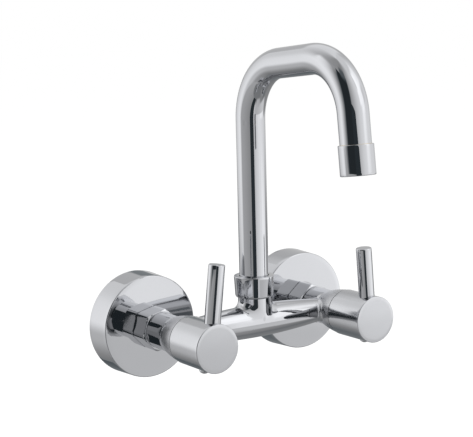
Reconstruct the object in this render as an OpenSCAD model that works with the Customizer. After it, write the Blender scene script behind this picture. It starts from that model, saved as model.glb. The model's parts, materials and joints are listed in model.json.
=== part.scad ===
// Wall-mounted two-handle sink mixer with a swivel tube spout.
// Millimetres. X runs along the wall, +Y goes into the wall, +Z is up.
// The origin is midway between the two inlets, on the finished wall, at the height of the valve axes.
// "Out" below means the distance from the wall plane toward the user.

/* [Wall inlets] */
// distance between the two inlet centres, and between the two valve axes
inlet_spacing = 150; // [145:1:160]
// outer radius of the G1/2 thread that screws into the wall
wall_thread_r = 10.48; // [10.3:0.02:10.5]
// depth of that thread in the wall
wall_thread_len = 14; // [12:1:18]

/* [Flange] */
// radius of the flange on the wall
flange_r = 41.6; // [38:0.1:45]
// how much the flange tapers toward its front face
flange_taper = 1.0; // [0.6:0.1:2]
// height of the flange from the wall
flange_depth = 23.8; // [22:0.1:25]
// sheet thickness of the flange
flange_wall = 1.4; // [1:0.1:1.8]

/* [Union nut] */
// width across the flats
nut_af = 30; // [30:0.5:33]
// length along the inlet
nut_len = 16.8; // [16.2:0.1:18]

/* [Valve housing] */
// radius of the boss behind the bridge
boss_r = 14.3; // [14.1:0.1:15]
// radius at the front edge
housing_r = 18.2; // [17:0.1:18.3]
// front edge, out from the wall
housing_out = 81.5; // [81:0.1:83]
// radius of the curve between the two
housing_curve_r = 100; // [70:5:140]

/* [Bridge] */
// bridge axis, out from the wall
bridge_out = 60.4; // [60:0.1:61.5]
// radius in the middle
bridge_r = 13.15; // [12.6:0.05:13.4]
// radius at the boss of the housing
bridge_end_r = 9.3; // [9:0.1:10.5]
// radius of the water way
bridge_bore_r = 6.5; // [5.5:0.1:7]

/* [Knob] */
// outer radius
knob_r = 18.5; // [18:0.1:20]
// length along the axis
knob_len = 37.7; // [37:0.1:40]

/* [Levers] */
// lever radius
lever_r = 6.25; // [5:0.05:6.5]
// lever axis, back from the knob's front face
lever_set = 9.4; // [8.8:0.1:10]
// reach of the left lever from the valve axis
left_reach = 61.7; // [45:0.1:75]
// reach of the right lever from the valve axis
right_reach = 57.3; // [45:0.1:75]
// lean of the left lever toward the spout when shut
left_lean = 6.9; // [0:0.1:12]
// lean of the right lever toward the spout when shut
right_lean = 3.8; // [0:0.1:12]

/* [Spout] */
// outer radius of the tube
tube_r = 11.55; // [11.3:0.05:11.6]
// wall thickness of the tube
tube_wall = 1.05; // [0.9:0.05:1.2]
// height of the upper straight above the valve axes, at the end of the first bend
arm_height = 205.3; // [180:0.1:260]
// centre-line radius of the first bend
bend1_r = 44.7; // [30:0.1:55]
// angle of the first bend
bend1_angle = 84.6; // [80:0.1:90]
// length of the upper straight
arm_len = 40.5; // [20:0.1:120]
// centre-line radius of the second bend
bend2_r = 42.7; // [30:0.1:55]
// angle of the second bend
bend2_angle = 89; // [80:0.1:90]
// straight part above the aerator
drop_len = 21.3; // [12:0.1:60]

/* [Aerator] */
// outer radius of the aerator housing
aerator_r = 12.95; // [12.9:0.05:14]
// length of the aerator housing
aerator_len = 22.25; // [21:0.05:28]

/* [Spout collar] */
// radius at the top
collar_r = 16; // [15.5:0.1:17.5]
// radius just above the round lower edge
collar_low_r = 15.1; // [14.8:0.1:15.5]
// underside of the collar above the valve axes
collar_z = 19.9; // [19:0.1:21]
// height of the collar
collar_len = 17.4; // [17.2:0.1:19]

/* [Clearances] */
// radial clearance of a turning or screwed fit
fit = 0.05; // [0.03:0.01:0.08]
// space between pieces that move past each other
gap = 0.3; // [0.25:0.05:0.4]

/* [Hidden] */

CHROME = [0.82, 0.83, 0.85];
SATIN = [0.76, 0.76, 0.78];
BRASS = [0.78, 0.66, 0.38];
STEEL = [0.62, 0.63, 0.65];
RUBBER = [0.10, 0.10, 0.11];
CERAMIC = [0.93, 0.91, 0.86];
PLASTIC = [0.88, 0.88, 0.86];

fn = 60;
LEFT = -1;
RIGHT = 1;

// stations along the valve axis, out from the wall
nut_back = flange_depth + gap;
nut_front = nut_back + nut_len;
boss_back = nut_front + 0.4;
knob_back = housing_out + 0.6;
knob_front = knob_back + knob_len;
lever_out = knob_front - lever_set;
nut_lip = 3.5;
// where each nut's first corner came to rest, from upright toward the spout
left_nut_turn = 16;
right_nut_turn = 10;
leg_end = nut_front - 7.9;
washer_end = leg_end + 2;
nipple_flange_end = washer_end + 2.3;
nipple_end = boss_back + 6.7;
seat = bridge_out - 9.4;
seal_end = seat + 2.5;
disc_end = seal_end + 3.4;
moving_start = disc_end + 0.06;
moving_end = moving_start + 3;
bar_start = moving_end - 1.4;
post_start = moving_end + 0.6;
chamber_end = seat + 15.6;
thread_start = chamber_end + 2.4;
bonnet_end = housing_out + 6;
neck_end = bonnet_end + 8;
clip_start = neck_end + 0.5;
drive_start = clip_start + 2.3;
drive_end = drive_start + 9.7;
grub_out = drive_end - 3.7;
pocket_end = drive_start - 0.1;

// radii of the water side
g34_r = 13.1;
leg_bore_r = 7.5;
nipple_r = 10.4;
nipple_bore_r = 5.9;
chamber_r = 11.6;
cartridge_thread_r = 12.05;
bonnet_root_r = 10.25;
sleeve_r = 10.9;
sleeve_bore_r = 9.6;
moving_r = 9.2;
spindle_r = 5;
oring_section = 0.69;
oring_root_r = 3.6;
bar_w = 5;
bar_half = 8.8;
drive_w = 7;
plug_r = 3.7;
grub_r = 2.45;
lever_foot = 11.5;
stud_r = 4;

// spout base, heights above the valve axes
neck_r = 13.1;
boss_thread_r = 12.9;
boss_top = collar_z + 11.1;
tail_r = 9.95;
tail_bore_r = 6.8;
tail_low = boss_top - 15.5;
shoulder_low = boss_top + 1;
shoulder_top = shoulder_low + 2.5;
shoulder_r = 12.6;
tail_ring_r = 0.98;
tail_root_r = 8;

// spout path in its own upright plane, [forward, up]
bend1_z = arm_height - bend1_r;
arm_dir = [sin(bend1_angle), cos(bend1_angle)];
p1 = [bend1_r - bend1_r * cos(bend1_angle), bend1_z + bend1_r * sin(bend1_angle)];
p2 = p1 + arm_len * arm_dir;
bend2_c = p2 + bend2_r * [cos(bend1_angle), -sin(bend1_angle)];
spout_turn = bend1_angle + bend2_angle;
p3 = bend2_c + bend2_r * [cos(180 - spout_turn), sin(180 - spout_turn)];
p4 = p3 + drop_len * [sin(spout_turn), cos(spout_turn)];

// the bends are this much thinner at each skin, and run this far into the straights
bend_inset = 0.05;
bend_lap = 0.6;

// ---------- frames ----------

// local z points out of the wall, local y up, local x toward the spout
module at_valve(side)
    translate([side * inlet_spacing / 2, 0, 0])
        rotate([90, 0, 0])
            mirror([side > 0 ? 1 : 0, 0, 0])
                children();

// the same, with local y along the lever
module at_handle(side)
    at_valve(side)
        rotate([0, 0, side > 0 ? -right_lean : -left_lean])
            children();

// on the spout's swivel axis
module at_riser()
    translate([0, -bridge_out, 0])
        children();

// local x points forward along the spout
module at_spout()
    at_riser()
        rotate([0, 0, -90])
            children();

// local z runs down the aerator from the end of the tube
module at_outlet()
    at_spout()
        translate([p4[0], 0, p4[1]])
            rotate([0, spout_turn, 0])
                children();

// ---------- shapes that repeat ----------

module turned(points)
    rotate_extrude($fn = fn)
        polygon(points);

module ring(inner, outer, low, high)
    translate([0, 0, low])
        difference() {
            cylinder(h = high - low, r = outer, $fn = fn);
            translate([0, 0, -1])
                cylinder(h = high - low + 2, r = inner, $fn = fn);
        }

module oring(centre_r, section_r, z)
    translate([0, 0, z])
        rotate_extrude($fn = 48)
            translate([centre_r, 0])
                circle(r = section_r, $fn = 16);

// flat outline of a sector from angle a to angle b, less than half a turn
module sector(a, b, r)
    polygon([[0, 0], [r * cos(a), r * sin(a)],
        [1.3 * r * cos((a + b) / 2), 1.3 * r * sin((a + b) / 2)], [r * cos(b), r * sin(b)]]);

module hexagon(af, h)
    rotate([0, 0, 90])
        cylinder(h = h, r = af / sqrt(3), $fn = 6);

// two kidney openings on opposite sides
module kidneys(angle, low, high)
    for (turn = [0, 180])
        rotate([0, 0, turn + angle])
            translate([0, 0, low])
                linear_extrude(high - low)
                    intersection() {
                        difference() {
                            circle(r = 6.7, $fn = fn);
                            circle(r = 2.6, $fn = fn);
                        }
                        sector(-36, 36, 9);
                    }

// ---------- bridge body ----------

module barrel()
    rotate([0, 90, 0])
        rotate_extrude($fn = 72) {
            reach = inlet_spacing / 2 - 12;
            drop = bridge_r - bridge_end_r;
            rho = (reach * reach + drop * drop) / (2 * drop);
            intersection() {
                translate([bridge_r - rho, 0])
                    circle(r = rho, $fn = 720);
                translate([0, -reach])
                    square([bridge_r + 1, 2 * reach]);
            }
        }

module housing_outside() {
    rise = housing_r - boss_r;
    run = housing_out - bridge_out - 0.6;
    chord = sqrt(rise * rise + run * run);
    lift = sqrt(housing_curve_r * housing_curve_r - chord * chord / 4);
    centre = [boss_r + rise / 2 - lift * run / chord, bridge_out + 0.6 + run / 2 + lift * rise / chord];
    turned([[0, boss_back], [boss_r - 0.6, boss_back], [boss_r, boss_back + 0.6],
        [boss_r, bridge_out + 0.6], [0, bridge_out + 0.6]]);
    rotate_extrude($fn = fn)
        intersection() {
            translate(centre)
                circle(r = housing_curve_r, $fn = 360);
            translate([0, bridge_out + 0.6])
                square([housing_r + 3, run]);
        }
}

module housing_inside() {
    translate([0, 0, boss_back - 1])
        cylinder(h = nipple_end - boss_back + 1.2, r = nipple_r + fit, $fn = fn);
    translate([0, 0, boss_back])
        cylinder(h = seat - boss_back + 1, r = bridge_bore_r, $fn = fn);
    translate([0, 0, seat])
        cylinder(h = housing_out - seat, r = chamber_r, $fn = fn);
    translate([0, 0, thread_start - 0.5])
        cylinder(h = housing_out - thread_start + 2, r = cartridge_thread_r + fit, $fn = fn);
}

module bridge_body()
    color(CHROME)
        difference() {
            union() {
                at_riser() barrel();
                for (side = [LEFT, RIGHT])
                    at_valve(side) housing_outside();
                at_riser() {
                    cylinder(h = collar_z + 2, r = neck_r, $fn = fn);
                    cylinder(h = boss_top, r = boss_thread_r, $fn = fn);
                }
            }
            for (side = [LEFT, RIGHT])
                at_valve(side) housing_inside();
            at_riser() {
                rotate([0, 90, 0])
                    cylinder(h = inlet_spacing - 2 * chamber_r + 4, r = bridge_bore_r, center = true, $fn = fn);
                cylinder(h = tail_low + 1, r = bridge_bore_r + 1, $fn = fn);
                translate([0, 0, tail_low - 1])
                    cylinder(h = boss_top - tail_low + 3, r = tail_r + fit + 0.02, $fn = fn);
            }
        }

// ---------- wall side ----------

module flange_solid()
    turned([[flange_r - flange_wall, 0], [flange_r, 0],
        [flange_r - flange_taper, flange_depth - 1], [flange_r - flange_taper - 0.8, flange_depth],
        [g34_r + 0.1, flange_depth], [g34_r + 0.1, flange_depth - flange_wall],
        [flange_r - flange_taper - flange_wall - 0.3, flange_depth - flange_wall]]);

module wall_leg_solid()
    turned([[leg_bore_r, -wall_thread_len], [wall_thread_r - 0.8, -wall_thread_len],
        [wall_thread_r, -wall_thread_len + 0.8], [wall_thread_r, flange_depth - 6],
        [g34_r, flange_depth - 6 + g34_r - wall_thread_r], [g34_r, leg_end - 0.6],
        [g34_r - 0.6, leg_end], [leg_bore_r, leg_end]]);

module union_nut_solid(turn) {
    corner = nut_af / sqrt(3);
    difference() {
        intersection() {
            translate([0, 0, nut_back])
                rotate([0, 0, -turn])
                    hexagon(nut_af, nut_len);
            turned([[0, nut_back], [corner - 1, nut_back], [corner + 0.1, nut_back + 0.65],
                [corner + 0.1, nut_front - 1.2], [nut_af / 2 + 0.3, nut_front], [0, nut_front]]);
        }
        translate([0, 0, nut_back - 1])
            cylinder(h = nut_len - nut_lip + 1, r = g34_r + fit, $fn = fn);
        translate([0, 0, nut_back])
            cylinder(h = nut_len + 1, r = nipple_r + 0.8, $fn = fn);
    }
}

module inlet_washer_solid()
    ring(leg_bore_r, g34_r - 0.7, leg_end, washer_end);

module nipple_solid()
    difference() {
        turned([[0, washer_end], [g34_r - 0.3, washer_end], [g34_r - 0.3, nipple_flange_end],
            [nipple_r + 0.6, nipple_flange_end], [nipple_r + 0.6, boss_back],
            [nipple_r, boss_back], [nipple_r, nipple_end - 0.6], [nipple_r - 0.6, nipple_end],
            [0, nipple_end]]);
        translate([0, 0, washer_end - 1])
            hexagon(12, 7);
        translate([0, 0, washer_end - 1])
            cylinder(h = nipple_end - washer_end + 2, r = nipple_bore_r, $fn = fn);
    }

// ---------- cartridge ----------

module cartridge_body_solid()
    difference() {
        union() {
            translate([0, 0, seat + 0.5])
                cylinder(h = thread_start - seat, r = sleeve_r, $fn = fn);
            translate([0, 0, thread_start])
                cylinder(h = housing_out - 3 - thread_start, r = cartridge_thread_r, $fn = fn);
            translate([0, 0, thread_start])
                cylinder(h = housing_out - thread_start + 1, r = bonnet_root_r, $fn = fn);
            translate([0, 0, housing_out])
                hexagon(24, bonnet_end - housing_out);
            translate([0, 0, housing_out + 1])
                cylinder(h = neck_end - housing_out - 1, r = 8.5, $fn = fn);
        }
        // disc and bar space, with the two stops left standing
        translate([0, 0, seat])
            cylinder(h = post_start - seat, r = sleeve_bore_r, $fn = fn);
        translate([0, 0, seat + 2])
            linear_extrude(chamber_end - seat - 2)
                difference() {
                    circle(r = sleeve_bore_r, $fn = fn);
                    for (turn = [0, 180])
                        rotate([0, 0, turn])
                            difference() {
                                sector(23, 67, 14);
                                circle(r = 7.2, $fn = fn);
                            }
                }
        // side windows
        translate([0, 0, post_start])
            linear_extrude(chamber_end - post_start - 0.2)
                for (turn = [0, 180])
                    rotate([0, 0, turn])
                        sector(-107, 17, 14);
        // slots for the fixed disc's ears
        translate([-1.55, -sleeve_r - 1, seat])
            cube([3.1, 2 * sleeve_r + 2, disc_end - seat]);
        translate([0, 0, seat])
            cylinder(h = neck_end - seat + 1, r = spindle_r + fit, $fn = fn);
    }

module cartridge_oring_solid()
    oring((bonnet_root_r + cartridge_thread_r) / 2 + 0.03, 0.9, housing_out - 1);

module seat_seal_solid()
    ring(bridge_bore_r + 0.3, sleeve_bore_r - 0.1, seat, seal_end);

module fixed_disc_solid()
    difference() {
        union() {
            translate([0, 0, seal_end])
                cylinder(h = disc_end - seal_end, r = sleeve_bore_r - 0.1, $fn = fn);
            intersection() {
                translate([-1.5, -10.6, seal_end])
                    cube([3, 21.2, disc_end - seal_end]);
                translate([0, 0, seal_end])
                    cylinder(h = disc_end - seal_end, r = 10.5, $fn = fn);
            }
        }
        kidneys(90, seal_end - 1, disc_end + 1);
    }

module moving_disc_solid()
    difference() {
        translate([0, 0, moving_start])
            cylinder(h = moving_end - moving_start, r = moving_r, $fn = fn);
        kidneys(0, moving_start - 1, moving_end + 1);
        translate([-bar_w / 2 - 0.05, -moving_r - 1, bar_start - 0.05])
            cube([bar_w + 0.1, 2 * moving_r + 2, 3]);
    }

module spindle_solid()
    difference() {
        union() {
            translate([0, 0, bar_start])
                linear_extrude(chamber_end - 0.1 - bar_start)
                    intersection() {
                        square([bar_w, 2 * bar_half + 1], center = true);
                        circle(r = bar_half, $fn = fn);
                    }
            translate([0, 0, chamber_end - 1])
                cylinder(h = drive_start - chamber_end + 1, r = spindle_r, $fn = fn);
            translate([-drive_w / 2, -drive_w / 2, drive_start - 1])
                cube([drive_w, drive_w, drive_end - drive_start + 1]);
        }
        ring(oring_root_r, spindle_r + 1, thread_start + 3, thread_start + 4.8);
        ring(oring_root_r, spindle_r + 1, thread_start + 9, thread_start + 10.8);
        ring(4.3, spindle_r + 1, clip_start, clip_start + 1);
    }

module spindle_oring_solid(offset)
    oring(oring_root_r + oring_section + 0.01, oring_section, thread_start + offset + 0.9);

module circlip_solid()
    difference() {
        ring(4.32, 7.4, clip_start + 0.05, clip_start + 0.95);
        translate([-1.7, 0, clip_start - 1])
            cube([3.4, 9, 3]);
    }

// ---------- handle ----------

module knob_solid()
    difference() {
        turned([[0, knob_back], [knob_r - 0.4, knob_back], [knob_r, knob_back + 0.4],
            [knob_r, knob_front - 0.4], [knob_r - 0.4, knob_front], [0, knob_front]]);
        translate([0, 0, knob_back - 1])
            cylinder(h = pocket_end - knob_back + 1, r = 15.4, $fn = fn);
        translate([-drive_w / 2 - 0.05, -drive_w / 2 - 0.05, pocket_end - 1])
            cube([drive_w + 0.1, drive_w + 0.1, drive_end - pocket_end + 1.3]);
        translate([0, 0, lever_out])
            rotate([-90, 0, 0]) {
                translate([0, 0, lever_foot])
                    cylinder(h = knob_r, r = lever_r + fit, $fn = fn);
                translate([0, 0, 6.6])
                    cylinder(h = knob_r, r = stud_r + fit, $fn = fn);
            }
        translate([0, 0, grub_out])
            rotate([90, 0, 0]) {
                cylinder(h = knob_r, r = grub_r + fit, $fn = fn);
                translate([0, 0, 12.6])
                    cylinder(h = knob_r, r = plug_r + fit, $fn = fn);
            }
    }

module lever_solid(reach)
    translate([0, 0, lever_out])
        rotate([-90, 0, 0])
            rotate_extrude($fn = 48) {
                translate([0, lever_foot])
                    square([lever_r, reach - lever_foot - 0.9]);
                translate([0, reach - 1.5])
                    square([lever_r - 0.9, 1.5]);
                translate([lever_r - 0.9, reach - 0.9])
                    circle(r = 0.9, $fn = 24);
                translate([0, 7])
                    square([stud_r, lever_foot]);
            }

module grub_screw_solid()
    translate([0, 0, grub_out])
        rotate([90, 0, 0])
            difference() {
                translate([0, 0, drive_w / 2])
                    cylinder(h = 8, r = grub_r, $fn = 32);
                translate([0, 0, drive_w / 2 + 5.5])
                    hexagon(2.5, 4);
            }

module plug_solid()
    translate([0, 0, grub_out])
        rotate([90, 0, 0])
            intersection() {
                translate([0, 0, 12.6])
                    cylinder(h = knob_r, r = plug_r, $fn = 32);
                union() {
                    cylinder(h = knob_r, r = plug_r + 1, $fn = 32);
                    translate([0, 0, knob_r + 2.8 - 4.6])
                        sphere(r = 4.6, $fn = 40);
                }
            }

// ---------- spout ----------

// one hollow straight of the tube
module tube_straight(length)
    difference() {
        cylinder(h = length, r = tube_r, $fn = 48);
        translate([0, 0, -1])
            cylinder(h = length + 2, r = tube_r - tube_wall, $fn = 48);
    }

// one hollow bend of the tube, its ends let a little way into the straights
module tube_bend(bend_r, angle, turned_by)
    rotate([90, 0, 0])
        rotate([0, 0, 180 - turned_by - bend_lap])
            rotate_extrude(angle = angle + 2 * bend_lap, $fn = 96)
                translate([bend_r, 0])
                    difference() {
                        circle(r = tube_r - bend_inset, $fn = 48);
                        circle(r = tube_r - tube_wall + bend_inset, $fn = 48);
                    }

module spout_tube()
    color(CHROME)
        at_spout() {
            translate([0, 0, shoulder_top])
                tube_straight(bend1_z - shoulder_top);
            translate([bend1_r, 0, bend1_z])
                tube_bend(bend1_r, bend1_angle, bend1_angle);
            translate([p1[0], 0, p1[1]])
                rotate([0, bend1_angle, 0])
                    tube_straight(arm_len);
            translate([bend2_c[0], 0, bend2_c[1]])
                tube_bend(bend2_r, bend2_angle, spout_turn);
            translate([p3[0], 0, p3[1]])
                rotate([0, spout_turn, 0])
                    tube_straight(drop_len);
        }

module spout_tail()
    color(BRASS)
        at_riser()
            difference() {
                union() {
                    translate([0, 0, tail_low])
                        cylinder(h = shoulder_low - tail_low + 0.5, r = tail_r, $fn = fn);
                    translate([0, 0, shoulder_low])
                        cylinder(h = shoulder_top - shoulder_low, r = shoulder_r, $fn = fn);
                    translate([0, 0, shoulder_top - 0.5])
                        cylinder(h = 10, r = tube_r - tube_wall - fit, $fn = fn);
                }
                translate([0, 0, tail_low - 1])
                    cylinder(h = 40, r = tail_bore_r, $fn = fn);
                ring(tail_root_r, tail_r + 1, tail_low + 3, tail_low + 5.4);
                ring(tail_root_r, tail_r + 1, tail_low + 9, tail_low + 11.4);
            }

module spout_collar_solid() {
    round_r = 2.4;
    difference() {
        union() {
            rotate_extrude($fn = fn) {
                polygon([[0, collar_z + round_r], [collar_low_r, collar_z + round_r],
                    [collar_r, collar_z + collar_len - 0.7], [collar_r - 0.7, collar_z + collar_len],
                    [0, collar_z + collar_len]]);
                translate([0, collar_z])
                    square([collar_low_r - round_r, round_r + 1]);
                translate([collar_low_r - round_r, collar_z + round_r])
                    circle(r = round_r, $fn = 32);
            }
        }
        translate([0, 0, collar_z - 1])
            cylinder(h = 3, r = neck_r + fit, $fn = fn);
        translate([0, 0, collar_z])
            cylinder(h = shoulder_top + gap - collar_z, r = neck_r + fit, $fn = fn);
        translate([0, 0, collar_z])
            cylinder(h = collar_len + 1, r = tube_r + gap + 0.1, $fn = fn);
    }
}

// ---------- outlet ----------

module end_adapter()
    color(BRASS)
        at_outlet()
            difference() {
                union() {
                    translate([0, 0, -8])
                        cylinder(h = 9, r = tube_r - tube_wall - fit, $fn = fn);
                    cylinder(h = 7, r = 11.8, $fn = fn);
                }
                translate([0, 0, -9])
                    cylinder(h = 18, r = 9, $fn = fn);
            }

module aerator_housing()
    color(CHROME)
        at_outlet()
            difference() {
                rotate_extrude($fn = fn)
                    polygon([[0, 0.15], [aerator_r - 0.5, 0.15], [aerator_r, 0.65],
                        [aerator_r, aerator_len - 0.6], [aerator_r - 0.6, aerator_len],
                        [0, aerator_len]]);
                translate([0, 0, -1])
                    cylinder(h = 9.8, r = 11.8 + fit, $fn = fn);
                cylinder(h = aerator_len - 1.75, r = 11.3, $fn = fn);
                cylinder(h = aerator_len + 1, r = 9.8, $fn = fn);
            }

module aerator_washer()
    color(RUBBER)
        at_outlet() ring(9.2, 11.2, 7, 8.8);

module aerator_insert()
    color(PLASTIC)
        at_outlet()
            difference() {
                translate([0, 0, 8.8])
                    cylinder(h = aerator_len - 1.75 - 8.8, r = 11.2, $fn = fn);
                translate([0, 0, 11.4])
                    cylinder(h = aerator_len, r = 9.3, $fn = fn);
                for (k = [0:7])
                    rotate([0, 0, 45 * k])
                        translate([6.6, 0, 8])
                            cylinder(h = 5, r = 1.2, $fn = 16);
                for (k = [0:5])
                    rotate([0, 0, 60 * k])
                        translate([3.2, 0, 8])
                            cylinder(h = 5, r = 1, $fn = 16);
            }

module aerator_screen()
    color(STEEL)
        at_outlet()
            difference() {
                translate([0, 0, aerator_len - 3.6])
                    cylinder(h = 1, r = 9.25, $fn = fn);
                for (row = [0:3])
                    for (k = [0:max(0, 6 * row - 1)])
                        rotate([0, 0, 60 * k / max(1, row)])
                            translate([2.35 * row, 0, aerator_len - 5])
                                cylinder(h = 4, r = 0.85, $fn = 16);
            }

// ---------- the pieces ----------

module left_flange() color(CHROME) at_valve(LEFT) flange_solid();
module right_flange() color(CHROME) at_valve(RIGHT) flange_solid();
module left_wall_leg() color(BRASS) at_valve(LEFT) wall_leg_solid();
module right_wall_leg() color(BRASS) at_valve(RIGHT) wall_leg_solid();
module left_union_nut() color(CHROME) at_valve(LEFT) union_nut_solid(left_nut_turn);
module right_union_nut() color(CHROME) at_valve(RIGHT) union_nut_solid(right_nut_turn);
module left_inlet_washer() color(RUBBER) at_valve(LEFT) inlet_washer_solid();
module right_inlet_washer() color(RUBBER) at_valve(RIGHT) inlet_washer_solid();
module left_nipple() color(BRASS) at_valve(LEFT) nipple_solid();
module right_nipple() color(BRASS) at_valve(RIGHT) nipple_solid();
module left_cartridge_body() color(BRASS) at_handle(LEFT) cartridge_body_solid();
module right_cartridge_body() color(BRASS) at_handle(RIGHT) cartridge_body_solid();
module left_cartridge_oring() color(RUBBER) at_valve(LEFT) cartridge_oring_solid();
module right_cartridge_oring() color(RUBBER) at_valve(RIGHT) cartridge_oring_solid();
module left_seat_seal() color(RUBBER) at_valve(LEFT) seat_seal_solid();
module right_seat_seal() color(RUBBER) at_valve(RIGHT) seat_seal_solid();
module left_fixed_disc() color(CERAMIC) at_handle(LEFT) fixed_disc_solid();
module right_fixed_disc() color(CERAMIC) at_handle(RIGHT) fixed_disc_solid();
module spout_collar() color(CHROME) at_riser() spout_collar_solid();
module slip_washer() color(PLASTIC) at_riser() ring(10.3, 12.7, boss_top, boss_top + 0.75);
module left_moving_disc() color(CERAMIC) at_handle(LEFT) moving_disc_solid();
module right_moving_disc() color(CERAMIC) at_handle(RIGHT) moving_disc_solid();
module left_spindle() color(BRASS) at_handle(LEFT) spindle_solid();
module right_spindle() color(BRASS) at_handle(RIGHT) spindle_solid();
module left_inner_oring() color(RUBBER) at_handle(LEFT) spindle_oring_solid(3);
module right_inner_oring() color(RUBBER) at_handle(RIGHT) spindle_oring_solid(3);
module left_outer_oring() color(RUBBER) at_handle(LEFT) spindle_oring_solid(9);
module right_outer_oring() color(RUBBER) at_handle(RIGHT) spindle_oring_solid(9);
module left_circlip() color(STEEL) at_handle(LEFT) circlip_solid();
module right_circlip() color(STEEL) at_handle(RIGHT) circlip_solid();
module left_knob() color(SATIN) at_handle(LEFT) knob_solid();
module right_knob() color(SATIN) at_handle(RIGHT) knob_solid();
module left_lever() color(CHROME) at_handle(LEFT) lever_solid(left_reach);
module right_lever() color(CHROME) at_handle(RIGHT) lever_solid(right_reach);
module left_grub_screw() color(STEEL) at_handle(LEFT) grub_screw_solid();
module right_grub_screw() color(STEEL) at_handle(RIGHT) grub_screw_solid();
module left_plug() color(CHROME) at_handle(LEFT) plug_solid();
module right_plug() color(CHROME) at_handle(RIGHT) plug_solid();
module tail_oring_low() color(RUBBER) at_riser()
    oring(tail_root_r + tail_ring_r + 0.01, tail_ring_r, tail_low + 4.2);
module tail_oring_high() color(RUBBER) at_riser()
    oring(tail_root_r + tail_ring_r + 0.01, tail_ring_r, tail_low + 10.2);

bridge_body();
left_flange();
right_flange();
left_wall_leg();
right_wall_leg();
left_union_nut();
right_union_nut();
left_inlet_washer();
right_inlet_washer();
left_nipple();
right_nipple();
left_cartridge_body();
right_cartridge_body();
left_cartridge_oring();
right_cartridge_oring();
left_seat_seal();
right_seat_seal();
left_fixed_disc();
right_fixed_disc();
spout_collar();
slip_washer();
left_moving_disc();
right_moving_disc();
left_spindle();
right_spindle();
left_inner_oring();
right_inner_oring();
left_outer_oring();
right_outer_oring();
left_circlip();
right_circlip();
left_knob();
right_knob();
left_lever();
right_lever();
left_grub_screw();
right_grub_screw();
left_plug();
right_plug();
spout_tube();
spout_tail();
tail_oring_low();
tail_oring_high();
end_adapter();
aerator_housing();
aerator_washer();
aerator_insert();
aerator_screen();
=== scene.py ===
"""Looks of a wall-mounted two-handle sink mixer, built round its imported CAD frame.

Lengths inside the shape functions are millimetres in the CAD frame: +X along the wall, +Y into
the wall, +Z up, the origin midway between the two inlets. They become metres in make_piece.
"""

import json
import math

import bpy
import numpy as np
from mathutils import Matrix, Vector


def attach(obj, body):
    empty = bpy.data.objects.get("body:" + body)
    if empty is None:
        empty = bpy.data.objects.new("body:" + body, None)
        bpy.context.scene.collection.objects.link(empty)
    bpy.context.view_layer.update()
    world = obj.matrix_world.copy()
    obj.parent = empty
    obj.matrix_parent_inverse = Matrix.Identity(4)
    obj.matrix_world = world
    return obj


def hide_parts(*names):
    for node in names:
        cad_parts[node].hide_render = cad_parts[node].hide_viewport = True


bl_info = {
    "name": "Wall mixer looks",
    "version": (1, 0, 0),
    "blender": (4, 5, 0),
    "location": "View3D > Sidebar > Wall mixer",
    "description": "Skins, finishes and studio for a wall-mounted two-handle sink mixer",
    "category": "Object",
}

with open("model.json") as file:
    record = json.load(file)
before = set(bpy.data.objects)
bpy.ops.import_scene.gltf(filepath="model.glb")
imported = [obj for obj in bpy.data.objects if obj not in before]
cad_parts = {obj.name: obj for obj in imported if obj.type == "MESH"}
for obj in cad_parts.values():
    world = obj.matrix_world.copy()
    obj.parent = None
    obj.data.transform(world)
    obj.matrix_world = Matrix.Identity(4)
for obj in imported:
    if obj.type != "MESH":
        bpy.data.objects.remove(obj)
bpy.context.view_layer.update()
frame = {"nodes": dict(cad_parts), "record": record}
NODES = frame["nodes"]
MM = 0.001
TURN = 2 * math.pi
SIDES = {"left": -1, "right": 1}
SHARP_EDGE = math.radians(32)  # faces that meet at a larger angle keep their edge
KNOB_GAP = 0.6  # from the front of a valve housing to its knob, in millimetres


# ---------- places in the CAD frame ----------


def place(origin, x_axis, y_axis, z_axis):
    """4 by 4 array whose first three columns are the local axes, and the last the origin."""
    made = np.eye(4)
    for column, vector in enumerate((x_axis, y_axis, z_axis, origin)):
        made[:3, column] = vector
    return made


def at_valve(side, lean=0.0):
    """Local z out of the wall, local y up along the lever, local x toward the spout.

    A lean turns x and y about z: x becomes c x - s y, and y becomes c y + s x."""
    c, s = math.cos(lean), math.sin(lean)
    toward, up, out = (
        np.array([-side, 0.0, 0.0]),
        np.array([0.0, 0.0, 1.0]),
        np.array([0.0, -1.0, 0.0]),
    )
    sizes = bpy.context.scene.mixer_sizes
    origin = [side * sizes.inlet_spacing / MM / 2, 0, 0]
    return place(origin, c * toward - s * up, c * up + s * toward, out)


def at_riser():
    """On the spout's swivel axis, with the axes of the frame."""
    out = bpy.context.scene.mixer_sizes.bridge_out / MM
    return place([0, -out, 0], [1, 0, 0], [0, 1, 0], [0, 0, 1])


def spout_stations():
    """Ends of the tube's straights and the centres of its bends, as [forward, up] in path order.

    They are the first bend's start, centre and end, the second bend's start, centre and end, and
    the outlet, and the last value is the tube's heading there, from up. A bend adds its radius
    times a turned unit vector to its centre, and a straight adds its length along the heading."""
    sizes = bpy.context.scene.mixer_sizes
    r1, r2 = sizes.bend1_radius / MM, sizes.bend2_radius / MM
    a1, a2 = sizes.bend1_angle, sizes.bend2_angle
    start = np.array([0.0, sizes.arm_height / MM - r1])
    c1 = start + [r1, 0]
    p1 = c1 + r1 * np.array([-math.cos(a1), math.sin(a1)])
    p2 = p1 + sizes.arm_length / MM * np.array([math.sin(a1), math.cos(a1)])
    c2 = p2 + r2 * np.array([math.cos(a1), -math.sin(a1)])
    turn = a1 + a2
    p3 = c2 + r2 * np.array([math.cos(math.pi - turn), math.sin(math.pi - turn)])
    p4 = p3 + sizes.drop_length / MM * np.array([math.sin(turn), math.cos(turn)])
    return start, c1, p1, p2, c2, p3, p4, turn


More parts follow.
